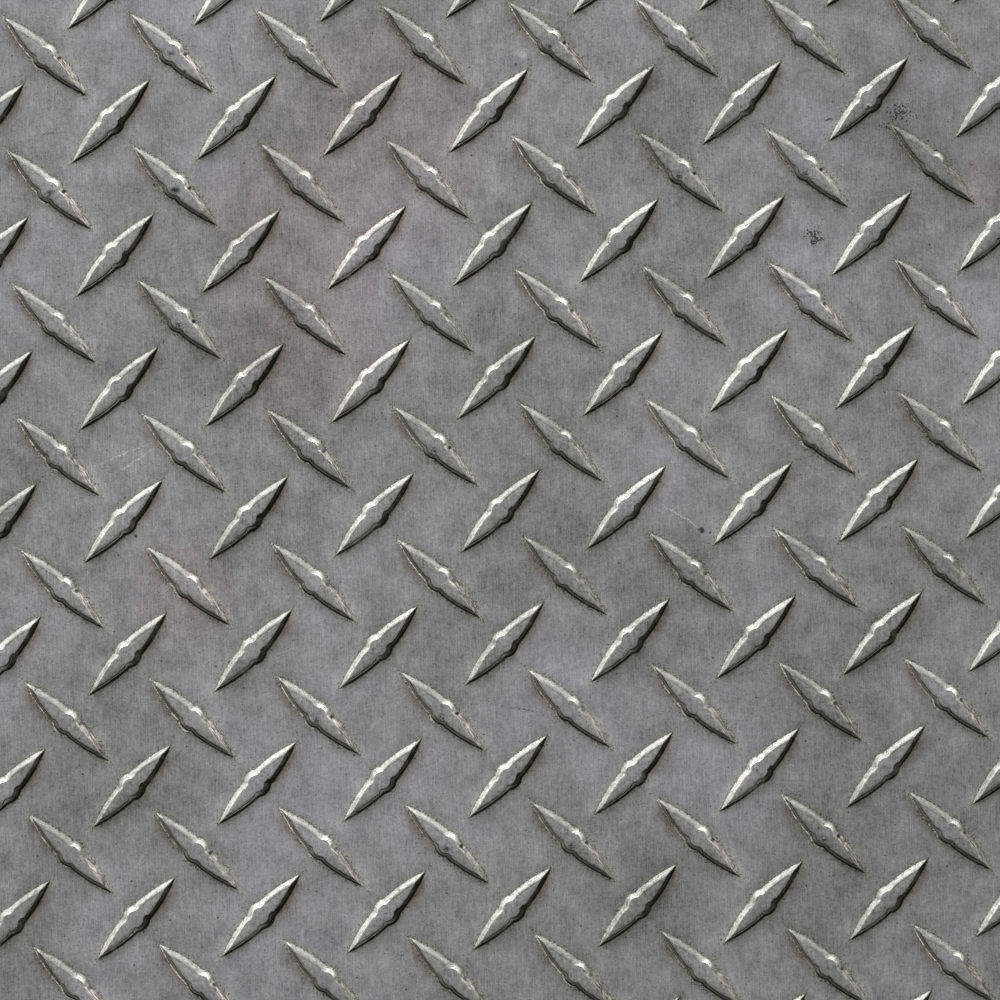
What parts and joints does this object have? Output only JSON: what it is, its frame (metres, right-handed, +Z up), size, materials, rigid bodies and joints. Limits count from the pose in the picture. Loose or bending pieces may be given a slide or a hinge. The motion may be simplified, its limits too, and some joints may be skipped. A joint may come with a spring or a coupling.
{
  "type": "checker steel plate",
  "caption": "Flat square of rolled steel floor plate with sheared edges and a raised non-slip tread of pointed, lens-shaped lugs that lie along crossing diagonals.",
  "frame": {"origin": "centre of the flat underside", "axes": "+Z up, out of the tread side; +X along one sheared edge, which is the left to right direction of the picture; +Y along the other, towards the top of the picture"},
  "size_m": [0.3048, 0.3048, 0.0063],
  "materials": {
    "steel": "worn mill finish with fine straight grain, faint stains, small scratches and grime at the feet of the lugs"
  },
  "bodies": {
    "root": {"checker_plate": "steel"}
  },
  "joints": []
}
